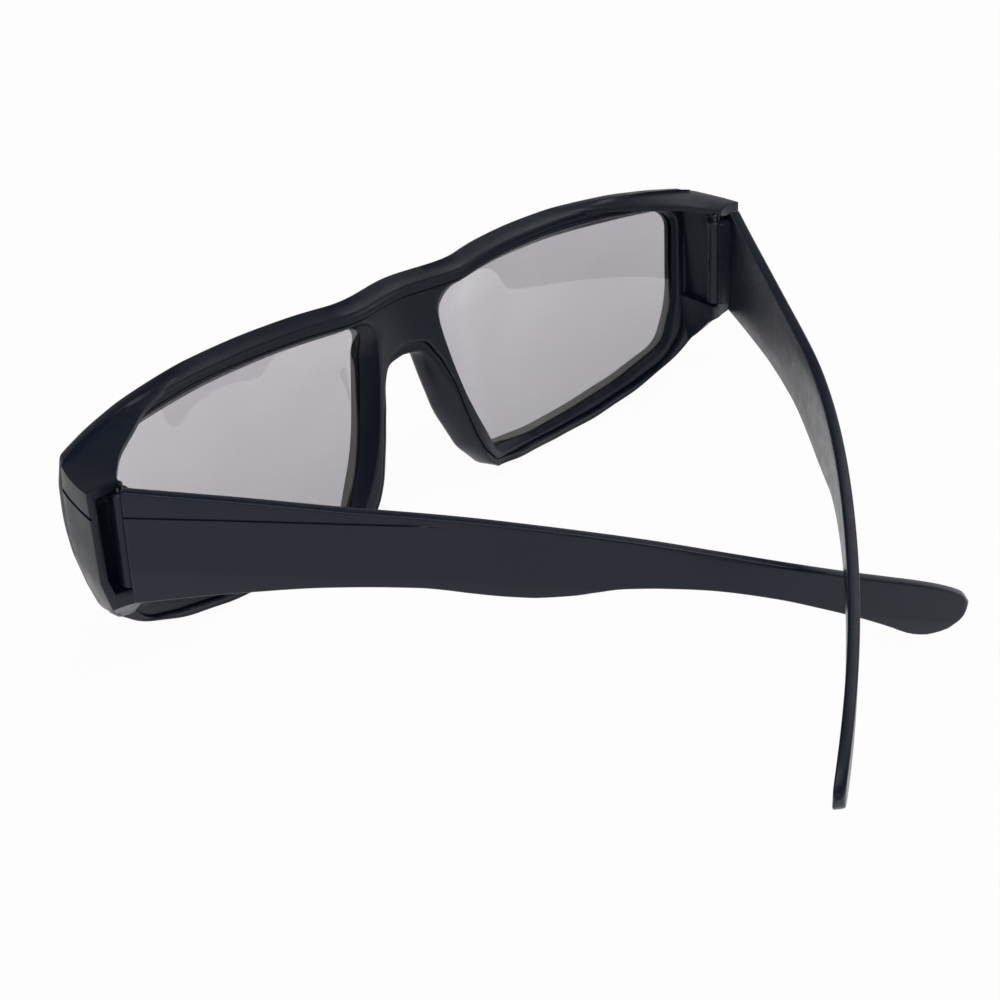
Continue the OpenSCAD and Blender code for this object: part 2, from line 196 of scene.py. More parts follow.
def loop_normals(loop, facing, fixed=None):
    """Unit normals of a closed loop on the side of another one, apart from those that are fixed."""
    count = len(loop)
    normals = []
    for i in range(count):
        along = loop[(i + 1) % count] - loop[i - 1]
        if along.length < 1e-9:
            along = Vector((1.0, 0.0))
        along.normalize()
        normal = Vector((-along.y, along.x))
        normals.append(normal if (facing[i] - loop[i]).dot(normal) > 0 else -normal)
    for i, normal in (fixed or {}).items():
        normals[i] = Vector(normal)
    return normals


def dense(path, step=0.5, closed=False):
    """Adds points to the straight runs of a polyline."""
    out = []
    pairs = list(zip(path, path[1:] + path[:1])) if closed else list(zip(path, path[1:]))
    for a, b in pairs:
        parts = max(1, math.ceil((b - a).length / step))
        out += [a.lerp(b, k / parts) for k in range(parts)]
    return out if closed else out + [path[-1]]


# Stretches of the half front, from the middle of the brow round to the middle of the nose arch:
# brow, side, lower rim, nose corner, nose pad and arch, and a last one back up the middle
nose_starts, middle_starts, middle_ends = 3.0, 6.0, 7.0
rim_half = rounded_path([
    (0, brow_middle, 0), (20, 0.05, 60), (31, brow_line(31), 60), (43, brow_line(43), 60), (57, brow_line(57), 60),
    (65, brow_line(65), 40), (71.6, brow_line(71.6), 1.6), (73.4, -9.0, 6), (74.3, -15, 30), (73.9, -20.5, 12),
    (72.4, -27, 10), (70.6, -32.4, 6), (64.6, -37.6, 20), (55, -41.9, 25), (44, -44.1, 30), (33, -44.1, 30),
    (24, -43.4, 25), (14.6, -42.2, 4.5), (9.9, -36.8, 8), (6.4, -28.5, 20), (4.7, -21, 20), (3.5, -14.9, 2.2),
    (0, arch_middle, 0)])
nose_corner = (16.26, -42.39)
nose_foot = (13.38, -40.8)
rim_marks = [(0, brow_middle), (71.7, -5.2), (70.7, -32.1), nose_corner, nose_foot, (3.9, -16.0), (0, arch_middle)]
rim_stretches = cut_path(dense(rim_half, 0.3), rim_marks)
seam_middle = -3.4
seam_half = rounded_path([
    (0, seam_middle, 0), (20, -3.3, 40), (43, brow_line(43) - 3.0, 80), (57, brow_line(57) - 3.0, 60),
    (69.8, brow_line(69.8) - 2.5, 2.4), (68.1, -25.5, 30), (67.0, -33.0, 8), (62.6, -38.1, 8), (55.3, -40.6, 25),
    (45.4, -42.7, 30), (34.7, -43.0, 30), (23.0, -42.2, 10), (16.2, -41.0, 3), (13.1, -37.4, 8), (11.6, -33.9, 20),
    (10.0, -28.4, 30), (8.8, -23.2, 20), (6.9, -17.2, 8), (4.6, -12.9, 3), (0, seam_arch, 0)])
seam_marks = [(0, seam_middle), (69.2, -7.3), (66.9, -33.2), (17.2, -41.2), (14.9, -39.5), (5.3, -14.2),
              (0, seam_arch)]
seam_stretches = cut_path(dense(seam_half, 0.3), seam_marks)
pad_half = rounded_path([
    (*nose_corner, 0), (14.4, -40.7, 2), (12.3, -37.2, 8), (10.8, -33.9, 20), (9.3, -28.4, 30), (8.0, -23.2, 20),
    (6.2, -18.3, 8), (3.9, -14.8, 2.2), (0, arch_middle, 0)])
pad_stretches = cut_path(dense(pad_half, 0.3), [nose_corner, (14.2, -40.4), (4.6, -16.0), (0, arch_middle)])
lens_loop = rounded_path([
    (9.2, -4.6, 4.5), (26, -5, 60), (40, -5.7, 80), (54, -6.8, 80), (68.3, -7.8, 4.0), (66.5, -27, 30),
    (63.3, -34.9, 6), (53, -38.6, 30), (41, -40.6, 60), (30, -40.6, 60), (17.8, -39.2, 2.6), (13.2, -27, 60),
    (10.4, -13, 60)], closed=True)
lens_seat_loop = rounded_path([
    (8.8, -4.6, 4.5), (26, -5, 60), (40, -5.7, 80), (54, -6.8, 80), (68.3, -7.8, 4.0), (66.5, -27, 30),
    (63.4, -35.2, 6), (53, -39.5, 30), (41, -41.4, 60), (30, -41.4, 60), (17.2, -39.9, 2.6), (12.6, -27, 60),
    (9.8, -13, 60)], closed=True)
lens_back_loop = rounded_path([
    (7.0, -4.1, 4.0), (19, -4.0, 40), (26, -4.2, 60), (40, -4.7, 80), (54, -5.7, 80), (68.4, -7.5, 4.0),
    (66.6, -27, 30), (63.6, -35.4, 6), (53, -39.9, 30), (41, -41.9, 60), (30, -41.9, 60), (17.0, -40.2, 2.6),
    (10.9, -27, 60), (7.6, -13, 60)], closed=True)


def lens_stretches(loop, marks):
    """Cuts a closed lens loop into the stretches that face the seven stretches of the half front."""
    first = nearest(loop, marks[0])
    turned = loop[first:] + loop[:first] + [loop[first]]
    at = [0]
    for mark in marks[1:]:
        at.append(nearest(turned, mark, at[-1]))
    at.append(len(turned) - 1)
    return [turned[a:b + 1] for a, b in zip(at, at[1:])]


lens_marks = [(10.8, -5.4), (67.2, -8.8), (64.0, -33.8), (18.3, -38.7), (16.4, -35.5), (10.7, -14.5), (9.9, -9.5)]
seat_marks = [(9.8, -5.4), (67.2, -8.8), (64.2, -34.0), (17.7, -39.4), (15.7, -36.0), (10.1, -14.5), (9.5, -9.5)]
back_marks = [(8.5, -5.1), (67.3, -8.6), (64.4, -34.2), (17.4, -39.7), (14.8, -36.5), (7.9, -14.5), (7.1, -9.5)]
lens_runs = lens_stretches(dense(lens_loop, closed=True), lens_marks)
seat_runs = lens_stretches(dense(lens_seat_loop, closed=True), seat_marks)
back_runs = lens_stretches(dense(lens_back_loop, closed=True), back_marks)

# Matching points of the outline, the seam and the lens opening, spoke by spoke
middle_up = [Vector((0, arch_middle)), Vector((0, brow_middle))]
rim_runs = rim_stretches + [middle_up]
seam_runs = seam_stretches + [[Vector((0, seam_arch)), Vector((0, seam_middle))]]
pad_runs = rim_stretches[:3] + pad_stretches + [middle_up]
rim_loop, pad_loop, seam_loop, opening_loop, opening_seat, opening_back = [], [], [], [], [], []
rim_part = []
for number, (rim_run, pad_run, seam_run, lens_run, seat_run, back_run) in enumerate(
        zip(rim_runs, pad_runs, seam_runs, lens_runs, seat_runs, back_runs)):
    for share in spoke_shares([rim_run, lens_run]):
        rim_loop.append(point_along(rim_run, share))
        pad_loop.append(point_along(pad_run, share))
        seam_loop.append(point_along(seam_run, share))
        opening_loop.append(point_along(lens_run, share))
        opening_seat.append(point_along(seat_run, share))
        opening_back.append(point_along(back_run, share))
        rim_part.append(number + share)
spokes = len(rim_loop)
middle_normals = {0: (0, -1), rim_part.index(middle_starts): (0, 1)}
rim_in = loop_normals(rim_loop, opening_loop, middle_normals)
seam_in = loop_normals(seam_loop, opening_loop, middle_normals)
opening_out = loop_normals(opening_loop, rim_loop)
seat_out = loop_normals(opening_seat, rim_loop)
back_out = loop_normals(opening_back, rim_loop)

# Depths and roundings of the moulding, and the share of its radius by which a rounding stands
# in at the middle of its arc
arc_middle = 0.29
front_round = 0.7
lip_round = 0.35
seam_round = 0.16
crease_full, crease_loss = 0.3, 0.28
recess_width, recess_step = 1.2, 0.3
lower_rim_extra = 1.1
pad_thinner, arch_thinner = 0.3, 1.0
bulge_forward, bulge_depth = 2.0, 1.6
bulge_reach, bulge_fade = 12.0, 18.0
bulge_top, bulge_run = -4.0, 8.0
bulge_wall, bulge_wall_run = 2.2, 1.1


def rear_depth(i):
    """Depth of the moulding's back edge: full on the rims and nose pads, only the front skin over the arch."""
    part = rim_part[i]
    if part < 1.0:
        return rim_depth
    if part < nose_starts:
        low = ease((-27.0 - rim_loop[i].y) / 6.0) * ease((nose_starts - part) / 0.12)
        return rim_depth + lower_rim_extra * low
    if part < middle_starts:
        return rim_depth - pad_thinner * ease(part - nose_starts) - arch_thinner * ease((rim_loop[i].y + 24.0) / 8.0)
    return rim_depth - (pad_thinner + arch_thinner) * ease((middle_ends - part) / 0.5)


def face_round(i):
    """Rounding of the front edge, larger where the front turns into the wing."""
    return front_round + (0.5 * rim_in[i].x ** 2 if rim_loop[i].x > 60.0 else 0.0)


def crease_round(i):
    """Rounding of the back edge of the brow, which fades out towards the wing."""
    if rim_part[i] >= 1.0:
        return crease_full
    return crease_full - crease_loss * ease((rim_loop[i].x - 52.0) / 14.0)


def nose_bulge(p):
    """How far front and lens stand forward beside the nose, fading out to the brow and the rims."""
    across = 1.0 - ease((abs(p.x) - bulge_reach) / bulge_fade)
    return bulge_forward * across * ease((bulge_top - p.y) / bulge_run)


def rim_ring(inset, depth):
    """Ring that follows the outline, set in by a distance, at a depth behind the front surface."""
    ring = []
    for i in range(spokes):
        into, back = inset(i), depth(i)
        fall = brow_slope(rim_loop[i].x) * max(0.0, back - front_round)
        if rim_part[i] > middle_starts:
            share = rim_part[i] - middle_starts
            q = Vector((0.0, (arch_middle + into) * (1.0 - share) + (brow_middle - into - fall) * share))
        else:
            pad_share = (back - front_round) / (rear_depth(i) - front_round)
            q = rim_loop[i].lerp(pad_loop[i], min(1.0, max(0.0, pad_share)))
            q += rim_in[i] * into
            if rim_part[i] < 2.0:
                q.y -= fall * max(0.0, -rim_in[i].y) ** 2
            q.x = max(q.x, 0.0)
        ring.append((q, back - nose_bulge(q) * max(0.0, 1.0 - back / bulge_depth)))
    return ring


def seam_ring(inset, depth):
    """Ring that follows the seam, set in by a distance, at one depth or at a depth for each spoke."""
    ring = []
    for i in range(spokes):
        if rim_part[i] > middle_starts:
            share = rim_part[i] - middle_starts
            q = Vector((0.0, (seam_arch + inset) * (1.0 - share) + (seam_middle - inset) * share))
        else:
            q = seam_loop[i] + seam_in[i] * inset
        q.x = max(q.x, 0.0)
        ring.append((q, depth(i) if callable(depth) else depth))
    return ring


def opening_ring(loop, normals, outset, depth):
    """Ring round the lens opening, set out by a distance, at a depth behind the front surface."""
    forward = 1.0 - ease((depth - bulge_wall) / bulge_wall_run)
    ring = [p + n * outset for p, n in zip(loop, normals)]
    return [(q, depth - nose_bulge(q) * forward) for q in ring]


def between(ring_a, ring_b, share, sink=0.0):
    """Ring part of the way from one ring to another."""
    return [(a.lerp(b, share), da + (db - da) * share + sink) for (a, da), (b, db) in zip(ring_a, ring_b)]


def sweep_rings(rings, place):
    """Mirrored shell through matching rings of the half front, joined along the middle."""
    shell = bmesh.new()
    for side in (1.0, -1.0):
        grid = [[shell.verts.new((side * p.x, plan_line(p.x) + d, p.y)) for p, d in ring] for ring in rings]
        count = len(grid)
        for r in range(count):
            near, far = grid[r], grid[(r + 1) % count]
            for i in range(spokes):
                j = (i + 1) % spokes
                quad = [near[i], near[j], far[j], far[i]]
                if all(abs(v.co.x) < 1e-7 for v in quad):
                    continue
                shell.faces.new(quad if side > 0 else quad[::-1])
    bmesh.ops.delete(shell, geom=[v for v in shell.verts if not v.link_faces], context="VERTS")
    bmesh.ops.remove_doubles(shell, verts=shell.verts, dist=0.004)
    bmesh.ops.dissolve_degenerate(shell, edges=shell.edges, dist=0.002)
    bmesh.ops.transform(shell, matrix=place, verts=shell.verts)
    bmesh.ops.recalc_face_normals(shell, faces=shell.faces)
    return shell


front_edge = opening_ring(opening_loop, opening_out, lip_round, 0.0)
face_edge = rim_ring(face_round, lambda i: 0.0)
crease_edge = rim_ring(crease_round, rear_depth)
seam_edge = seam_ring(-seam_round, rear_depth)
front_rings = [
    opening_ring(opening_seat, seat_out, 0.0, lens_wall),
    opening_ring(opening_loop, opening_out, 0.0, lip_round),
    opening_ring(opening_loop, opening_out, lip_round * arc_middle, lip_round * arc_middle),
    front_edge]
front_rings += [between(front_edge, face_edge, k / 6) for k in range(1, 6)]
front_rings.append(face_edge)
for share_in, share_back in ((0.62, 0.08), (arc_middle, arc_middle), (0.08, 0.62), (0.0, 1.0)):
    front_rings.append(rim_ring(lambda i: face_round(i) * share_in, lambda i: face_round(i) * share_back))
front_rings += [
    rim_ring(lambda i: 0.0, lambda i: (face_round(i) + rear_depth(i) - crease_round(i)) / 2),
    rim_ring(lambda i: 0.0, lambda i: rear_depth(i) - crease_round(i)),
    rim_ring(lambda i: crease_round(i) * arc_middle, lambda i: rear_depth(i) - crease_round(i) * arc_middle),
    crease_edge,
    between(crease_edge, seam_edge, 0.2, -0.05),
    between(crease_edge, seam_edge, 0.5, -0.09),
    between(crease_edge, seam_edge, 0.8, -0.05),
    seam_edge,
    seam_ring(-seam_round * arc_middle, lambda i: rear_depth(i) - seam_round * arc_middle),
    seam_ring(0.0, lambda i: rear_depth(i) - seam_round),
    seam_ring(0.0, lambda i: min(seam_floor, rear_depth(i) - seam_round - 0.05)),
    opening_ring(opening_seat, seat_out, recess_width, seam_floor - recess_step),
    opening_ring(opening_seat, seat_out, recess_width, lens_wall)]
front_shell = sweep_rings(front_rings, lean_place)

# Hollow wing: the brow runs on into its roof and the lower rim into its floor, joined by the
# outer wall, and the channel between them is open to the back and to the inside
wing_end = 13.75
wing_bottom = -27.2
roof_thick = 1.7
pocket_bottom = -24.7
wall_thick = 1.4
wing_root = 2.3
wing_round = 0.22
groove_deep = 0.3
groove_height, groove_fall = -8.05, 0.163
lug_back, lug_side, lug_run = 0.6, 71.4, 2.8
bevel_from = -21.6
bevel_angle = math.radians(14.0)
floor_inside = 67.3
hinge_x, hinge_y = 69.0, 13.1
pocket_wall, pocket_front = 69.2, 11.1
side_limit, top_limit = 74.8, 43.88
wing_side = [(4.6, 71.5), (6.0, 72.2), (8.6, 73.4), (12.0, 74.1), (16.0, 74.3), (19.0, 74.1), (21.6, 73.5),
             (27.2, 72.1)]
roof_inside = [(-3.0, 45.0), (-1.6, 49.5), (-0.2, 53.2), (1.6, 56.2), (3.8, 59.0), (6.1, 62.2), (8.3, 64.9),
               (10.0, 66.4), (12.2, 68.2), (14.4, 69.6)]
floor_low = [(2.0, -34.6), (6.7, -34.5), (8.2, -33.6), (10.1, -31.8), (12.2, -29.4), (wing_end, -27.5)]


def line_through(points, at):
    """Value of a straight-run line through points (along, value)."""
    for (a, va), (b, vb) in zip(points, points[1:]):
        if at <= b:
            return va + (vb - va) * max(0.0, (at - a) / (b - a))
    return points[-1][1]


def wing_outer(y, z):
    """Outer side of the wing, bowed out towards the back and bevelled below."""
    end = side_limit - max(0.0, bevel_from - z) * math.tan(bevel_angle)
    side = line_through(wing_side, -z)
    forward = (wing_end - y) / (wing_end - 1.5 + 0.13 * z)
    return end - (end - side) * min(1.0, max(0.0, forward)) ** 1.8


def wing_roof(x, y):
    """Height of the roof, which carries on the brow's sloping top face."""
    turn_c, turn_s = math.cos(front_lean), math.sin(front_lean)
    slope = brow_slope(x)
    back = y * turn_c - plan_line(x) - front_round
    return (brow_line(x) - slope * back + y * turn_s) / (turn_c + slope * turn_s) - 0.02


def wing_start(x, z):
    """Distance back where the wing leaves the inside of the rim."""
    return (plan_line(x) + wing_root) * math.cos(front_lean) - z * math.sin(front_lean)


def wing_groove(y):
    """Height of the fine groove along the wing's outer side."""
    return groove_height - groove_fall * (y - 3.0)


def wing_section(y):
    """Outer and inner line of the wing's section at one distance back, as (across, up) pairs."""
    inside = line_through(roof_inside, y)
    low = line_through(floor_low, y)
    outer, inner = [], []
    outside = wing_outer(y, -6.0)
    wall = pocket_wall if y < pocket_front else outside - wall_thick
    groove = wing_groove(y)
    for share in (0.0, 0.12, 0.3, 0.5, 0.7, 0.85, 0.94, 1.0):
        x = inside + (outside - inside) * share
        top = wing_roof(x, y)
        outer.append((x, top))
        inner.append((min(x, wall), top - roof_thick * (0.55 + 0.45 * min(1.0, 3.0 * share))))
    under_roof = inner[-1][1] - 0.1
    for inset, z in ((0.0, groove + 0.9), (0.0, groove + 0.3), (groove_deep, groove + 0.22),
                     (groove_deep, groove - 0.22), (0.0, groove - 0.3), (0.0, -13.0), (0.0, -16.0),
                     (0.0, -19.0), (0.0, bevel_from)):
        outer.append((wing_outer(y, z) - inset, z))
        inner.append((wall if y < pocket_front else wing_outer(y, z) - wall_thick, min(z, under_roof)))
    corner = (wing_outer(y, wing_bottom), wing_bottom)
    for share in (0.0, 0.25, 0.5, 0.75, 1.0):
        x = corner[0] + (floor_inside - corner[0]) * share
        outer.append((x, corner[1] + (low - corner[1]) * (1.0 - (1.0 - share) ** 2)))
        inner.append((min(x, wall if y < pocket_front else corner[0] - 0.9), pocket_bottom))
    return outer, inner


def wing_shell():
    """Shell of one wing, section by section from inside the rim to its open end."""
    shell = bmesh.new()
    rows = []
    for y in (-3.0, -1.8, -0.6, 0.6, 1.8, 3.0, 4.2, 5.4, 6.6, 7.8, 9.0, 10.1, 11.0, 11.15, 12.2, 13.0, wing_end):
        outer, inner = wing_section(y)
        row = []
        for x, z in outer + inner[::-1]:
            back = max(y, wing_start(x, z))
            if y == wing_end:
                back += lug_back * ease((lug_side - x) / lug_run)
            row.append(shell.verts.new((x, back, z)))
        rows.append(row)
    width = len(rows[0])
    for a, b in zip(rows, rows[1:]):
        for i in range(width):
            j = (i + 1) % width
            shell.faces.new((a[i], a[j], b[j], b[i]))
    half = width // 2
    for k in range(half - 1):
        for row in (rows[0], rows[-1]):
            shell.faces.new((row[k], row[k + 1], row[width - 2 - k], row[width - 1 - k]))
    bmesh.ops.remove_doubles(shell, verts=shell.verts, dist=0.001)
    bmesh.ops.dissolve_degenerate(shell, edges=shell.edges, dist=0.001)
    bmesh.ops.recalc_face_normals(shell, faces=shell.faces)
    return shell


def soften_edges(shell, offset, keep, steepest=math.radians(40.0)):
    """Rounds those sharp edges of a moulded shell that are asked for."""
    sharp = [edge for edge in shell.edges
             if len(edge.link_faces) == 2 and edge.calc_face_angle(0.0) > steepest and keep(edge)]
    bmesh.ops.bevel(shell, geom=sharp, offset=offset, offset_type="OFFSET", segments=3,
                    profile=0.5, affect="EDGES", clamp_overlap=True)


def away_from_rim(edge):
    """Edges of the wing that stay visible: not the groove's, and not those buried in the rim."""
    middle = (edge.verts[0].co + edge.verts[1].co) / 2
    buried = min(v.co.y - wing_start(v.co.x, v.co.z) for v in edge.verts) < 0.3
    return not buried and abs(middle.z - wing_groove(middle.y)) > 0.5


def add_shell(target, part, place):
    """Adds a finished shell to another one, moved into place."""
    carried = part.copy()
    bmesh.ops.transform(carried, matrix=place, verts=carried.verts)
    if place.determinant() < 0.0:
        bmesh.ops.reverse_faces(carried, faces=carried.faces)
    scratch = bpy.data.meshes.new("scratch")
    carried.to_mesh(scratch)
    target.from_mesh(scratch)
    bpy.data.meshes.remove(scratch)
    carried.free()


wing = wing_shell()
soften_edges(wing, wing_round, away_from_rim)
for side in (1.0, -1.0):
    add_shell(front_shell, wing, stand_place @ Matrix.Diagonal((side, 1.0, 1.0, 1.0)))
for v in front_shell.verts:
    v.co.z = min(top_limit, max(v.co.z, 0.0))
    v.co.x = min(side_limit, max(-side_limit, v.co.x))


smooth_angle = math.radians(38.0)


def finish_piece(name, shell, body, replaced, material):
    """Turns a shell in millimetres into a visible piece that rides on a body."""
    bmesh.ops.scale(shell, vec=(MM, MM, MM), verts=shell.verts)
    mesh = bpy.data.meshes.new(name)
    shell.to_mesh(mesh)
    shell.free()
    for polygon in mesh.polygons:
        polygon.use_smooth = True
    mesh.set_sharp_from_angle(angle=smooth_angle)
    piece = bpy.data.objects.new(name, mesh)
    bpy.context.scene.collection.objects.link(piece)
    piece.data.materials.append(material)
    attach(piece, body)
    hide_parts(*replaced)


def new_finish(name):
    """New material, with its nodes, their links and the surface shader."""
    material = bpy.data.materials.new(name)
    material.use_nodes = True
    tree = material.node_tree
    return material, tree.nodes, tree.links, tree.nodes["Principled BSDF"]


def add_noise(nodes, links, place, scale, detail):
    """Cloudy pattern of a given fineness."""
    noise = nodes.new("ShaderNodeTexNoise")
    noise.inputs["Scale"].default_value = scale
    noise.inputs["Detail"].default_value = detail
    links.new(place, noise.inputs["Vector"])
    return noise.outputs["Fac"]


def add_tones(nodes, links, pattern, low, low_tone, high, high_tone):
    """Colour that runs from one tone to another between two strengths of a pattern."""
    tones = nodes.new("ShaderNodeValToRGB")
    tones.color_ramp.elements[0].position = low
    tones.color_ramp.elements[0].color = (*low_tone, 1.0)
    tones.color_ramp.elements[1].position = high
    tones.color_ramp.elements[1].color = (*high_tone, 1.0)
    links.new(pattern, tones.inputs["Fac"])
    return tones.outputs["Color"]


def add_range(nodes, links, value, low, high, to_low, to_high):
    """Number that runs between two values while another one goes from low to high."""
    spread = nodes.new("ShaderNodeMapRange")
    spread.inputs["From Min"].default_value = low
    spread.inputs["From Max"].default_value = high
    spread.inputs["To Min"].default_value = to_low
    spread.inputs["To Max"].default_value = to_high
    links.new(value, spread.inputs["Value"])
    return spread.outputs["Result"]


def satin_plastic(name, tone, edge_highlight_tone, gloss_low, gloss_high, grain_depth):
    """Satin moulded plastic: faint flow clouds, fine tool grain, and sharp edges painted paler as a painted
    highlight.
    """
    material, nodes, links, shader = new_finish(name)
    shader.inputs["IOR"].default_value = 1.5
    shader.inputs["Specular IOR Level"].default_value = 0.3
    place = nodes.new("ShaderNodeTexCoord").outputs["Object"]
    clouds = add_noise(nodes, links, place, 55.0, 3.0)
    grain = add_noise(nodes, links, place, 3800.0, 2.0)
    scuffs = add_noise(nodes, links, place, 420.0, 5.0)
    flow = add_tones(nodes, links, clouds, 0.32, [0.86 * c for c in tone], 0.68, [1.14 * c for c in tone])
    # Painted highlight: convex edges are painted paler, standing in for the light that the rounded edges catch
    sharpness = nodes.new("ShaderNodeNewGeometry").outputs["Pointiness"]
    edges = add_tones(nodes, links, sharpness, 0.53, (0.0, 0.0, 0.0), 0.62, (0.55, 0.55, 0.55))
    painted_edge_highlight = nodes.new("ShaderNodeMix")
    painted_edge_highlight.data_type = "RGBA"
    painted_edge_highlight.inputs["B"].default_value = (*edge_highlight_tone, 1.0)
    links.new(edges, painted_edge_highlight.inputs["Factor"])
    links.new(flow, painted_edge_highlight.inputs["A"])
    links.new(painted_edge_highlight.outputs["Result"], shader.inputs["Base Color"])
    links.new(add_range(nodes, links, scuffs, 0.3, 0.7, gloss_low, gloss_high), shader.inputs["Roughness"])
    bump = nodes.new("ShaderNodeBump")
    bump.inputs["Strength"].default_value = grain_depth
    bump.inputs["Distance"].default_value = 0.00004
    links.new(grain, bump.inputs["Height"])
    links.new(bump.outputs["Normal"], shader.inputs["Normal"])
    return material


front_plastic = satin_plastic(
    "satin_front_plastic", tone=(0.0030, 0.0062, 0.0160), edge_highlight_tone=(0.016, 0.019, 0.029),
    gloss_low=0.30, gloss_high=0.40, grain_depth=0.14)
finish_piece("front_moulding", front_shell, "frame", ["front_frame"], front_plastic)


# Rear bezel: a thin moulded face plate pressed into the back of the front, which holds both
# lenses by their edges. Its walls slope back from the lens, and a fine seam runs all round it.
bezel_floor = 2.13
bezel_gap = 0.06
bezel_round = 0.3
wall_round = 0.35


def bezel_ring(inset, depth):
    """Ring along the bezel's edge, just inside the seam."""
    return seam_ring(bezel_gap + inset, depth)


bezel_edge = bezel_ring(bezel_round, rim_depth)
wall_edge = opening_ring(opening_back, back_out, wall_round, rim_depth)
lens_foot = opening_ring(opening_seat, seat_out, 0.0, bezel_floor)
wall_start = opening_ring(opening_back, back_out, wall_round * 0.06, rim_depth - wall_round)
bezel_rings = [
    bezel_ring(0.0, bezel_floor),
    bezel_ring(0.0, (bezel_floor + rim_depth - bezel_round) / 2),
    bezel_ring(0.0, rim_depth - bezel_round),
    bezel_ring(bezel_round * arc_middle, rim_depth - bezel_round * arc_middle),
    bezel_edge]
bezel_rings += [between(bezel_edge, wall_edge, k / 5) for k in range(1, 5)]
bezel_rings += [
    wall_edge,
    opening_ring(opening_back, back_out, wall_round * 0.35, rim_depth - wall_round * 0.25),
    wall_start,
    between(wall_start, lens_foot, 0.5),
    lens_foot]
bezel_shell = sweep_rings(bezel_rings, lean_place)
bezel_plastic = satin_plastic(
    "satin_bezel_plastic", tone=(0.0028, 0.0058, 0.0150), edge_highlight_tone=(0.015, 0.018, 0.027),
    gloss_low=0.30, gloss_high=0.40, grain_depth=0.14)
finish_piece("rear_face_plate", bezel_shell, "frame", ["rear_bezel"], bezel_plastic)


# Lenses: each one is three cut films laminated together, a clear retarder in front, a grey
# polariser in the middle and a clear hard cover behind, clamped between front and bezel.
lens_film = 0.27
film_gap = 0.012
film_start = 1.26
film_tuck = 1.0
film_middle = Vector((40.0, -24.0))
film_shares = [0.05 * k for k in range(1, 20)] + [0.997]
# Heights between which the painted shade on a film fades from its lower edge to nothing
shade_from_height, shade_to_height = 0.004, 0.038


def film_shell(side, layer):
    """One cut film of a lens: its two curved faces and the edge between them."""
    near = film_start + layer * lens_film + film_gap
    far = film_start + (layer + 1) * lens_film - film_gap
    edge = [p + n * film_tuck for p, n in zip(opening_seat, seat_out)]
    levels = [(share, near) for share in film_shares] + [(1.0, (near + far) / 2)]
    levels += [(share, far) for share in film_shares[::-1]]
    shell = bmesh.new()
    rings = []
    for share, depth in levels:
        inward = [film_middle.lerp(p, share) for p in edge]
        rings.append([shell.verts.new((side * p.x, plan_line(p.x) + depth - nose_bulge(p), p.y)) for p in inward])
    for a, b in zip(rings, rings[1:]):
        for i in range(spokes):
            j = (i + 1) % spokes
            shell.faces.new((a[i], a[j], b[j], b[i]))
    for ring, depth in ((rings[0], near), (rings[-1], far)):
        hub = shell.verts.new((side * film_middle.x, plan_line(film_middle.x) + depth, film_middle.y))
        for i in range(spokes):
            shell.faces.new((ring[i], ring[(i + 1) % spokes], hub))
    bmesh.ops.remove_doubles(shell, verts=shell.verts, dist=0.002)
    bmesh.ops.dissolve_degenerate(shell, edges=shell.edges, dist=0.001)
    bmesh.ops.transform(shell, matrix=lean_place, verts=shell.verts)
    bmesh.ops.recalc_face_normals(shell, faces=shell.faces)
    return shell


def film_finish(name, tint, haze_low, haze_high, index, shaded_share):
    """Clear optical film: a tint with painted shade that darkens it to a share of itself at the lower edge, and
    faint wipe marks.
    """
    material, nodes, links, shader = new_finish(name)
    shader.inputs["Transmission Weight"].default_value = 1.0
    shader.inputs["IOR"].default_value = index
    place = nodes.new("ShaderNodeTexCoord").outputs["Object"]
    wipes = add_noise(nodes, links, place, 90.0, 4.0)
    split = nodes.new("ShaderNodeSeparateXYZ")
    links.new(place, split.inputs["Vector"])
    # Painted shade: the tint is scaled down towards the film's lower edge, standing in for the shade under the
    # glasses seen through the lens
    painted_shade = nodes.new("ShaderNodeVectorMath")
    painted_shade.operation = "SCALE"
    tones = add_tones(nodes, links, wipes, 0.3, [0.985 * c for c in tint], 0.7, tint)
    depth = add_range(nodes, links, split.outputs["Z"], shade_from_height, shade_to_height, shaded_share, 1.0)
    links.new(tones, painted_shade.inputs["Vector"])
    links.new(depth, painted_shade.inputs["Scale"])
    links.new(painted_shade.outputs["Vector"], shader.inputs["Base Color"])
    links.new(add_range(nodes, links, wipes, 0.35, 0.75, haze_low, haze_high), shader.inputs["Roughness"])
    return material


retarder_film = film_finish("clear_retarder_film", tint=(0.97, 0.97, 0.965),
                            haze_low=0.01, haze_high=0.03, index=1.02, shaded_share=1.0)
# The polariser carries painted shade, darker towards its lower edge
polariser_film = film_finish("grey_polariser_film", tint=(0.50, 0.485, 0.52),
                             haze_low=0.01, haze_high=0.03, index=1.02, shaded_share=0.74)
cover_film = film_finish("hard_cover_film", tint=(0.985, 0.985, 0.985),
                         haze_low=0.02, haze_high=0.05, index=1.46, shaded_share=1.0)
for side, wearer_side in ((1.0, "left"), (-1.0, "right")):
    for layer, (film, finish, slot_name) in enumerate((
            ("retarder", retarder_film, "retarder_film"),
            ("polariser", polariser_film, "polariser_film"),
            ("cover", cover_film, "cover_film"))):
        finish_piece(f"{wearer_side}_{film}_sheet", film_shell(side, layer), "frame",
                     [f"{wearer_side}_lens_{film}"], finish)


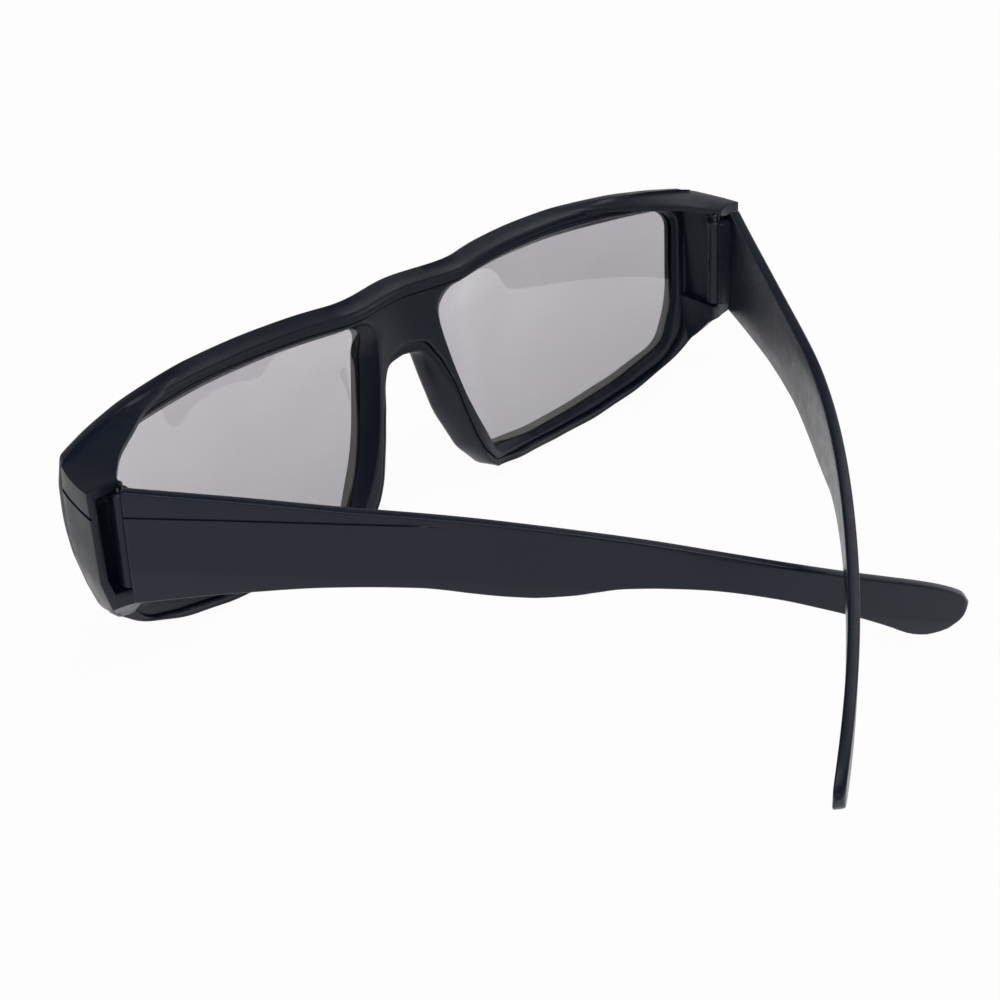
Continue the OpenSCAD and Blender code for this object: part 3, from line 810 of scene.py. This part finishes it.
# Arms: two moulded plastic arms, deep at the hinge and thin at the neck, with a rounded
# paddle behind the ear. Each has a barrel at its root that turns on the hinge pin.
blade_outer = -4.38
blade_thick = 2.0
blade_front = 1.1
arm_tip = 136.3
arm_round = 0.42
arm_bow, bow_from, bow_length = 0.45, 4.0, 92.0
bend_radius, bend_from = 209.0, 51.0
arm_groove_deep, arm_groove_half = 0.28, 0.26
top_points = [(0.0, -5.1), (10.0, -6.15), (20.3, -7.2), (34.7, -8.8), (46.5, -9.95), (54.0, -10.85), (64.6, -12.7),
              (75.3, -15.1), (83.1, -17.2), (91.5, -19.85), (100.8, -23.0), (114.7, -28.0), (122.0, -30.7),
              (127.2, -32.75), (132.1, -35.1), (135.1, -37.1), (136.3, -38.9)]
bottom_points = [(0.0, -26.2), (4.0, -25.7), (9.9, -24.9), (19.3, -23.86), (31.7, -22.87), (37.8, -22.75),
                 (46.1, -22.94), (49.1, -23.25), (55.3, -24.26), (60.2, -24.96), (65.1, -25.38), (70.1, -25.3),
                 (73.8, -24.9), (76.9, -24.68), (81.6, -25.0), (86.3, -25.65), (91.6, -26.65), (102.5, -30.0),
                 (110.6, -33.5), (117.3, -36.85), (122.5, -39.95), (125.7, -42.05), (127.8, -42.95),
                 (129.8, -43.35), (132.2, -43.2), (134.5, -42.1), (135.8, -40.6), (136.3, -38.9)]
crease_points = [(0.8, -19.71), (15.2, -20.07), (23.8, -20.34), (37.9, -20.91), (46.2, -21.15), (52.2, -21.63),
                 (61.4, -22.54), (67.6, -23.31), (73.8, -24.12), (80.0, -24.9), (140.0, -44.0)]


def flowing_line(points):
    """Smooth curve through points (along, up), as a function of the distance along."""
    xs = [p[0] for p in points]
    ys = [p[1] for p in points]
    steps = [(ys[i + 1] - ys[i]) / (xs[i + 1] - xs[i]) for i in range(len(xs) - 1)]
    slopes = [steps[0]]
    for i in range(1, len(steps)):
        if steps[i - 1] * steps[i] <= 0.0:
            slopes.append(0.0)
        else:
            before, after = xs[i] - xs[i - 1], xs[i + 1] - xs[i]
            w1, w2 = 2 * after + before, after + 2 * before
            slopes.append((w1 + w2) / (w1 / steps[i - 1] + w2 / steps[i]))
    slopes.append(steps[-1])

    def at(u):
        u = min(xs[-1], max(xs[0], u))
        i = max(k for k in range(len(xs) - 1) if xs[k] <= u)
        gap = xs[i + 1] - xs[i]
        t = (u - xs[i]) / gap
        return ((2 * t ** 3 - 3 * t ** 2 + 1) * ys[i] + (t ** 3 - 2 * t ** 2 + t) * gap * slopes[i]
                + (3 * t ** 2 - 2 * t ** 3) * ys[i + 1] + (t ** 3 - t ** 2) * gap * slopes[i + 1])
    return at


arm_top = flowing_line(top_points)
arm_bottom = flowing_line(bottom_points)
arm_crease = flowing_line(crease_points)


def arm_bend(u):
    """How far the arm bends inward behind the ear, less its slight outward bow."""
    bow = arm_bow * math.sin(math.pi * min(1.0, max(0.0, (u - bow_from) / bow_length))) ** 2
    bend = bend_radius - math.sqrt(bend_radius ** 2 - (u - bend_from) ** 2) if u > bend_from else 0.0
    return bend - bow


def arm_section(u, shrink):
    """Closed section of the arm at one distance from the hinge, as (inward, up) pairs."""
    top = arm_top(u) - shrink
    bottom = arm_bottom(u) + shrink
    high = max(top - bottom, 0.02)
    end_round = min(1.0, max(0.0, arm_tip - u))
    thin = math.sqrt(max(0.0, 1.0 - (1.0 - end_round) ** 2))
    thick = (blade_thick - 2.0 * shrink) * max(thin, 0.1)
    middle = arm_bend(u) + blade_outer + blade_thick / 2.0
    out = middle - thick / 2.0
    into = middle + thick / 2.0
    edge = min(arm_round, 0.3 * high, 0.45 * thick)
    groove = min(-9.6 - 0.036 * u, top - edge - 0.55 - 0.02 * high)
    groove = max(groove, bottom + 0.55 * high)
    depth = arm_groove_deep * (1.0 - ease((u - 44.0) / 8.0)) if high > 4.0 else 0.0
    half = min(arm_groove_half, 0.03 * high)
    crease = min(max(arm_crease(u), bottom + edge + 0.04 * high), groove - 0.2 * high)
    foot = 0.13 * max(0.0, crease - bottom - edge)
    if bottom + edge + 0.05 * high > arm_crease(u):
        foot = 0.0
    turns = [math.pi / 2 * k / 4 for k in range(5)]
    section = [(into - edge + edge * math.sin(t), bottom + edge - edge * math.cos(t)) for t in turns]
    section += [(into, bottom + edge + (high - 2 * edge) * share) for share in (0.25, 0.5, 0.75)]
    section += [(into - edge + edge * math.cos(t), top - edge + edge * math.sin(t)) for t in turns]
    section += [(out + edge - edge * math.sin(t), top - edge + edge * math.cos(t)) for t in turns]
    section += [(out, groove + half * 1.5), (out, groove + half), (out + depth, groove + half * 0.45),
                (out + depth, groove - half * 0.45), (out, groove - half), (out, groove - half * 1.5)]
    section += [(out, groove - half + (crease - groove + half) * share) for share in (0.35, 0.7, 0.97)]
    section += [(out + 0.003, crease)]
    section += [(out + foot * share, crease + (bottom + edge - crease) * share) for share in (0.06, 0.5)]
    section += [(out + foot + edge - edge * math.cos(t), bottom + edge - edge * math.sin(t)) for t in turns]
    return section


def arm_shell():
    """Shell of one arm's blade, section by section from the hinge to the tip."""
    stations = [(blade_front, 0.22), (blade_front + 0.07, 0.07), (blade_front + 0.24, 0.0)]
    stations += [(blade_front + 0.6 + 1.25 * k, 0.0) for k in range(106)]
    stations += [(u, 0.0) for u in (134.6, 135.1, 135.5, 135.8, 136.0, 136.15, 136.24, 136.29)]
    shell = bmesh.new()
    rings = [[shell.verts.new((u, y, z)) for y, z in arm_section(u, shrink)] for u, shrink in stations]
    for a, b in zip(rings, rings[1:]):
        for k in range(len(a)):
            j = (k + 1) % len(a)
            shell.faces.new((a[k], a[j], b[j], b[k]))
    shell.faces.new(rings[0])
    shell.faces.new(rings[-1])
    bmesh.ops.remove_doubles(shell, verts=shell.verts, dist=0.002)
    bmesh.ops.dissolve_degenerate(shell, edges=shell.edges, dist=0.001)
    bmesh.ops.recalc_face_normals(shell, faces=shell.faces)
    return shell


def barrel_shell():
    """Hinge barrel with the web that joins it to the blade, drawn round the pin's bore."""
    bore, barrel, end_round = 0.8, 1.7, 0.22
    low, high = -24.35, -7.25
    web_right, web_low, web_turn = 2.3, -3.4, math.radians(75.0)
    steps = 72
    shell = bmesh.new()
    rings = []
    for cut, z in ((0.0, -24.1), (end_round, low), (None, low), (None, high), (end_round, high), (0.0, -7.5)):
        ring = []
        for k in range(steps):
            turn = 2.0 * math.pi * k / steps
            c, s = math.cos(turn), math.sin(turn)
            reach = barrel
            if c > 0.0 and s < 0.0 and math.atan2(-s, c) < web_turn:
                reach = max(barrel, min(web_right / max(c, 1e-6), web_low / min(s, -1e-6)))
            radius = bore if cut is None else reach - cut
            ring.append(shell.verts.new((radius * c, radius * s, z)))
        rings.append(ring)
    for a, b in zip(rings, rings[1:] + rings[:1]):
        for k in range(steps):
            j = (k + 1) % steps
            shell.faces.new((a[k], a[j], b[j], b[k]))
    bmesh.ops.recalc_face_normals(shell, faces=shell.faces)
    return shell


# Each arm as photographed: the wearer's side, how far it is folded and how much its hinge leans,
# in degrees, and the mirror
hinge_middle = -15.8
folded_arms = (("left", 46.2, 1.5, 1.0), ("right", 34.7, -0.3, -1.0))


def hinge_place(fold, stack_lean, mirrored):
    """Where a hinge lies, turned by the arm's fold and leaned so that the folded arms stack."""
    return (stand_place @ Matrix.Diagonal((mirrored, 1.0, 1.0, 1.0))
            @ Matrix.Translation((hinge_x, hinge_y, hinge_middle))
            @ Matrix.Rotation(math.radians(90.0 + fold), 4, "Z")
            @ Matrix.Rotation(math.radians(stack_lean), 4, "Y")
            @ Matrix.Translation((0.0, 0.0, -hinge_middle)))


arm_plastic = satin_plastic(
    "satin_arm_plastic", tone=(0.0036, 0.0074, 0.0200), edge_highlight_tone=(0.016, 0.019, 0.030),
    gloss_low=0.27, gloss_high=0.36, grain_depth=0.08)
for wearer_side, fold, stack_lean, mirrored in folded_arms:
    arm_place = hinge_place(fold, stack_lean, mirrored)
    arm = bmesh.new()
    add_shell(arm, arm_shell(), arm_place)
    add_shell(arm, barrel_shell(), arm_place)
    for v in arm.verts:
        v.co.z = max(v.co.z, 0.0)
    finish_piece(f"{wearer_side}_arm", arm, f"{wearer_side}_arm", [f"{wearer_side}_temple"],
                 arm_plastic)


# Hinge pins: short turned steel pins with chamfered ends and a shallow groove near each end,
# pressed into the lugs of the wings, on which the arms' barrels turn.
pin_profile = [(0.02, -26.6), (0.6, -26.6), (0.75, -26.4), (0.75, -25.2), (0.70, -25.1), (0.70, -24.9),
               (0.75, -24.8), (0.75, -6.8), (0.70, -6.7), (0.70, -6.5), (0.75, -6.4), (0.75, -6.1),
               (0.6, -5.92), (0.02, -5.92)]


def turned_shell(profile, steps=32):
    """Turned shell about a vertical axis from (radius, height) pairs."""
    turns = [2 * math.pi * k / steps for k in range(steps)]
    shell = bmesh.new()
    rings = [[shell.verts.new((radius * math.cos(t), radius * math.sin(t), z)) for t in turns]
             for radius, z in profile]
    for a, b in zip(rings, rings[1:] + rings[:1]):
        for k in range(steps):
            j = (k + 1) % steps
            shell.faces.new((a[k], a[j], b[j], b[k]))
    bmesh.ops.recalc_face_normals(shell, faces=shell.faces)
    return shell


def pin_metal(name):
    """Drawn steel wire, painted nearly black as painted shade so that the pin sinks into the shade of the hinge gap:
    fine rings round the pin and a slight darkening in the scratches.
    """
    material, nodes, links, shader = new_finish(name)
    shader.inputs["Metallic"].default_value = 1.0
    stretch = nodes.new("ShaderNodeMapping")
    stretch.inputs["Scale"].default_value = (400.0, 400.0, 9000.0)
    links.new(nodes.new("ShaderNodeTexCoord").outputs["Object"], stretch.inputs["Vector"])
    rings = add_noise(nodes, links, stretch.outputs["Vector"], 1.0, 3.0)
    # Painted shade: both steel tones are nearly black, far darker than bare steel, to match the shade in the hinge
    # gap
    tones = add_tones(nodes, links, rings, 0.0, (0.035, 0.035, 0.038), 1.0, (0.075, 0.075, 0.08))
    links.new(tones, shader.inputs["Base Color"])
    links.new(add_range(nodes, links, rings, 0.0, 1.0, 0.22, 0.42), shader.inputs["Roughness"])
    return material


shade_darkened_steel = pin_metal("drawn_pin_steel")
for wearer_side, fold, stack_lean, mirrored in folded_arms:
    pin = bmesh.new()
    add_shell(pin, turned_shell(pin_profile), hinge_place(fold, stack_lean, mirrored))
    finish_piece(f"{wearer_side}_pin", pin, "frame", [f"{wearer_side}_hinge_pin"], shade_darkened_steel)


# Studio: a wide pale floor under soft white surroundings that darken overhead, with two
# large soft lamps. The floor shows white to the eye and in reflections, and keeps a trace
# of the shadow.
white = (1.0, 1.0, 1.0, 1.0)
floor_half, floor_gap = 2.5, 0.0002
floor_glow = 0.96
lamps_aim = Vector((0.0, -0.01, 0.02))
softboxes = (("high_softbox", (-0.8, 0.1, 1.1), 0.9, 5.0), ("side_softbox", (0.5, 0.4, 1.3), 1.0, 7.0))


def seen_by(nodes, links, *rays):
    """One for the named kinds of ray, nought for all other light."""
    path = nodes.new("ShaderNodeLightPath")
    seen = path.outputs[rays[0]]
    for ray in rays[1:]:
        either = nodes.new("ShaderNodeMath")
        either.operation = "MAXIMUM"
        links.new(seen, either.inputs[0])
        links.new(path.outputs[ray], either.inputs[1])
        seen = either.outputs[0]
    return seen


surroundings = bpy.data.worlds.new("white_surroundings")
bpy.context.scene.world = surroundings
surroundings.use_nodes = True
nodes, links = surroundings.node_tree.nodes, surroundings.node_tree.links
lighting = nodes["Background"]
lighting.inputs["Color"].default_value = white
split = nodes.new("ShaderNodeSeparateXYZ")
links.new(nodes.new("ShaderNodeTexCoord").outputs["Generated"], split.inputs["Vector"])
overhead = add_range(nodes, links, split.outputs["Z"], 0.1, 0.5, 1.0, 0.12)
overhead.node.interpolation_type = "SMOOTHSTEP"
links.new(overhead, lighting.inputs["Strength"])
backdrop = nodes.new("ShaderNodeBackground")
backdrop.inputs["Color"].default_value = white
backdrop.inputs["Strength"].default_value = 1.0
choice = nodes.new("ShaderNodeMixShader")
links.new(seen_by(nodes, links, "Is Camera Ray", "Is Transmission Ray"), choice.inputs["Fac"])
links.new(lighting.outputs["Background"], choice.inputs[1])
links.new(backdrop.outputs["Background"], choice.inputs[2])
links.new(choice.outputs["Shader"], nodes["World Output"].inputs["Surface"])

floor_mesh = bpy.data.meshes.new("pale_floor")
floor_shell = bmesh.new()
bmesh.ops.create_grid(floor_shell, x_segments=8, y_segments=8, size=floor_half)
floor_shell.to_mesh(floor_mesh)
floor_shell.free()
pale_floor = bpy.data.objects.new("pale_floor", floor_mesh)
pale_floor.location = (0.0, 0.0, -floor_gap)
bpy.context.scene.collection.objects.link(pale_floor)
floor_finish, nodes, links, matt = new_finish("pale_floor")
matt.inputs["Base Color"].default_value = (0.9, 0.9, 0.9, 1.0)
matt.inputs["Roughness"].default_value = 0.9
matt.inputs["Specular IOR Level"].default_value = 0.0
bright = nodes.new("ShaderNodeEmission")
bright.inputs["Color"].default_value = white
bright.inputs["Strength"].default_value = 1.0
share = nodes.new("ShaderNodeMath")
share.operation = "MULTIPLY"
share.inputs[1].default_value = floor_glow
links.new(seen_by(nodes, links, "Is Camera Ray", "Is Transmission Ray", "Is Glossy Ray"), share.inputs[0])
mixed = nodes.new("ShaderNodeMixShader")
links.new(share.outputs[0], mixed.inputs["Fac"])
links.new(matt.outputs["BSDF"], mixed.inputs[1])
links.new(bright.outputs["Emission"], mixed.inputs[2])
links.new(mixed.outputs["Shader"], nodes["Material Output"].inputs["Surface"])
pale_floor.data.materials.append(floor_finish)

for lamp_name, at, size, watts in softboxes:
    lamp = bpy.data.lights.new(lamp_name, "AREA")
    lamp.shape = "SQUARE"
    lamp.size = size
    lamp.energy = watts
    lamp_object = bpy.data.objects.new(lamp_name, lamp)
    lamp_object.location = at
    aim = lamps_aim - Vector(at)
    lamp_object.rotation_euler = aim.to_track_quat("-Z", "Y").to_euler()
    bpy.context.scene.collection.objects.link(lamp_object)
